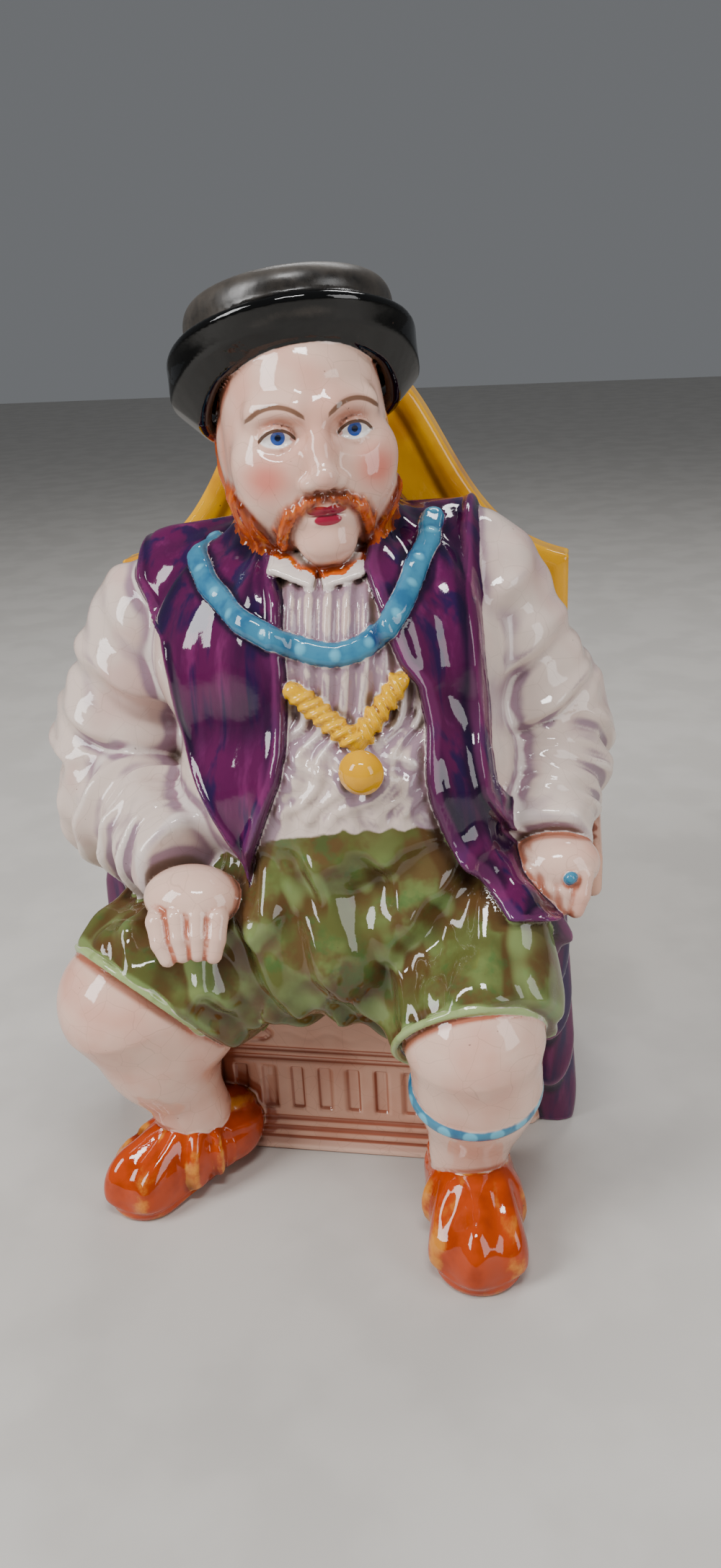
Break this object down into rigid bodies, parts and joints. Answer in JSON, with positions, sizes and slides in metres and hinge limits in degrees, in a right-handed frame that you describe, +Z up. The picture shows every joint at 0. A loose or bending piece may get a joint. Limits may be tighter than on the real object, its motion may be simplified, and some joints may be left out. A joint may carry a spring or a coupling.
{
  "type": "character jug",
  "caption": "Glazed earthenware jug cast as a seated man in Tudor dress on a throne, hollow and open at the crown of the cap, with a loop handle behind.",
  "frame": {"origin": "on the underside, at the level it stands on, below the middle of the seated figure", "axes": "+Z up, -Y the way the throne faces, +X to the viewer's right"},
  "size_m": [0.1642, 0.1686, 0.2501],
  "materials": {
    "glazed_earthenware": "cream earthenware painted under a clear, very glossy glaze"
  },
  "bodies": {
    "root": {"jug": "glazed_earthenware"}
  },
  "joints": []
}
